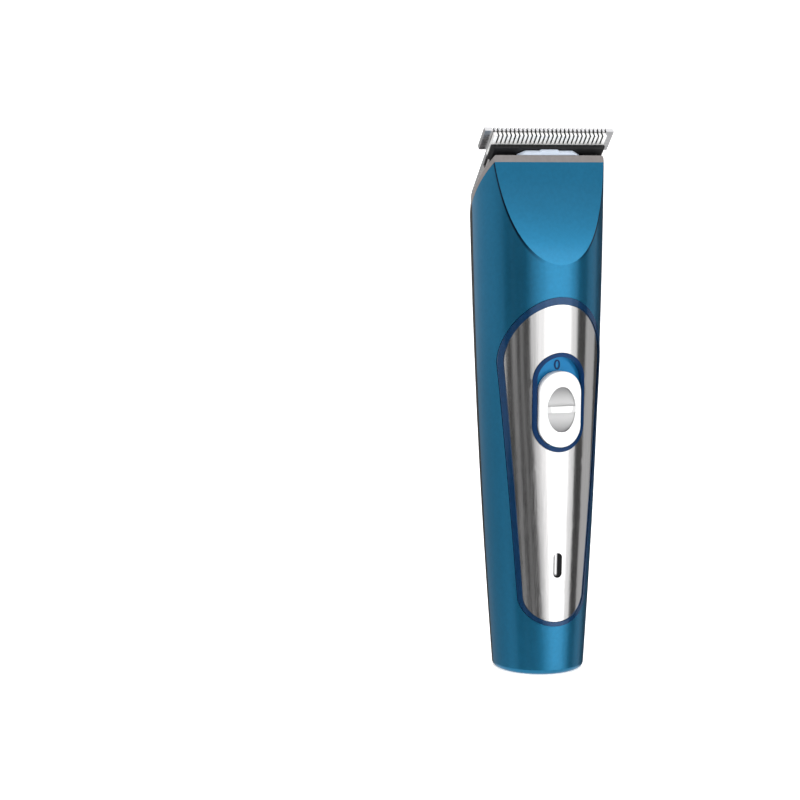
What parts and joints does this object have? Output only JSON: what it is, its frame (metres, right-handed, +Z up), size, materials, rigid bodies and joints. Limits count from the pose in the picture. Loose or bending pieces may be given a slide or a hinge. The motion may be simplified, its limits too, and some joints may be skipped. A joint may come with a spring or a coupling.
{
  "type": "hair clipper",
  "caption": "Cordless hair clipper with a tapered round handle, slanted T-blade head, silver front panel and sliding switch.",
  "frame": {"origin": "middle of the flat base that the clipper stands on", "axes": "+Z up along the handle towards the blade, -Y out of the switch side, +X across the blade"},
  "size_m": [0.0414, 0.0414, 0.165],
  "materials": {
    "blue_paint": "pearl metallic gloss",
    "black_plastic": "satin",
    "blue_ring": "gloss",
    "metallised_panel": "vertical brushed gloss",
    "blue_tub": "gloss",
    "clear_lens": "clear",
    "grey_plastic": "satin metallic",
    "zinc_screws": "zinc plated",
    "black_head": "satin",
    "grey_seat": "satin metallic",
    "blade_steel": "ground steel",
    "cutter_steel": "ground steel",
    "white_nylon": "moulded nylon",
    "spring_steel": "spring steel",
    "blade_screw_steel": "zinc plated",
    "white_plastic": "gloss",
    "black_acetal": "moulded",
    "black_lever": "moulded",
    "switch_can": "tinned",
    "green_board": "solder mask",
    "led_body": "epoxy",
    "small_screws": "zinc plated",
    "socket_plastic": "moulded",
    "socket_contact": "nickel plated",
    "cell_sleeve": "shrink sleeve over steel",
    "nickel_tabs": "nickel",
    "lead_sleeve_battery": "silicone sleeve",
    "lead_sleeve_motor": "silicone sleeve",
    "lead_sleeve_socket": "silicone sleeve",
    "white_chassis": "moulded",
    "can_steel": "zinc plated",
    "endcap_plastic": "moulded",
    "ferrite": "sintered",
    "carbon": "sintered",
    "bronze_bush": "sintered bronze",
    "core_steel": "laminated steel",
    "copper_wire": "enamelled copper",
    "commutator_copper": "turned copper",
    "shaft_steel": "ground steel",
    "cam_steel": "turned steel",
    "felt": "felt"
  },
  "bodies": {
    "handle": {"front_shell": "blue_paint", "rear_shell": "black_plastic", "panel_bezel": "blue_ring", "silver_panel": "metallised_panel", "switch_bezel": "blue_tub", "led_lens": "clear_lens", "collar": "grey_plastic", "case_screws": "zinc_screws", "blade_holder": "black_head", "blade_seat": "grey_seat", "fixed_blade": "blade_steel", "tension_spring": "spring_steel", "blade_screws": "blade_screw_steel", "slide_switch": "switch_can", "circuit_board": "green_board", "indicator_led": "led_body", "chassis_screws": "small_screws", "charging_socket": "socket_plastic", "socket_pin": "socket_contact", "battery_cell": "cell_sleeve", "battery_tabs": "nickel_tabs", "battery_leads": "lead_sleeve_battery", "motor_leads": "lead_sleeve_motor", "socket_leads": "lead_sleeve_socket", "inner_chassis": "white_chassis", "motor_can": "can_steel", "motor_endcap": "endcap_plastic", "motor_magnets": "ferrite", "motor_brushes": "carbon", "shaft_bushes": "bronze_bush", "dust_seal": "felt"},
    "switch": {"switch_button": "white_plastic", "switch_carriage": "black_acetal", "switch_actuator": "black_lever"},
    "rotor": {"armature_core": "core_steel", "armature_windings": "copper_wire", "commutator": "commutator_copper", "motor_shaft": "shaft_steel", "eccentric_cam": "cam_steel"},
    "cutter": {"moving_blade": "cutter_steel", "cutter_carrier": "white_nylon"}
  },
  "joints": [
    {"name": "switch_slide", "type": "slide", "parent": "handle", "child": "switch", "axis": [0, 0.0267, 0.9996], "range_m": [0, 0.004]},
    {"name": "rotor_spin", "type": "hinge", "parent": "handle", "child": "rotor", "pos_m": [0, 0.00293, 0.10996], "axis": [0, 0.0267, 0.9996], "continuous": true},
    {"name": "cutter_slide", "type": "slide", "parent": "handle", "child": "cutter", "axis": [1, 0, 0], "range_m": [-0.001, 0.001]}
  ]
}
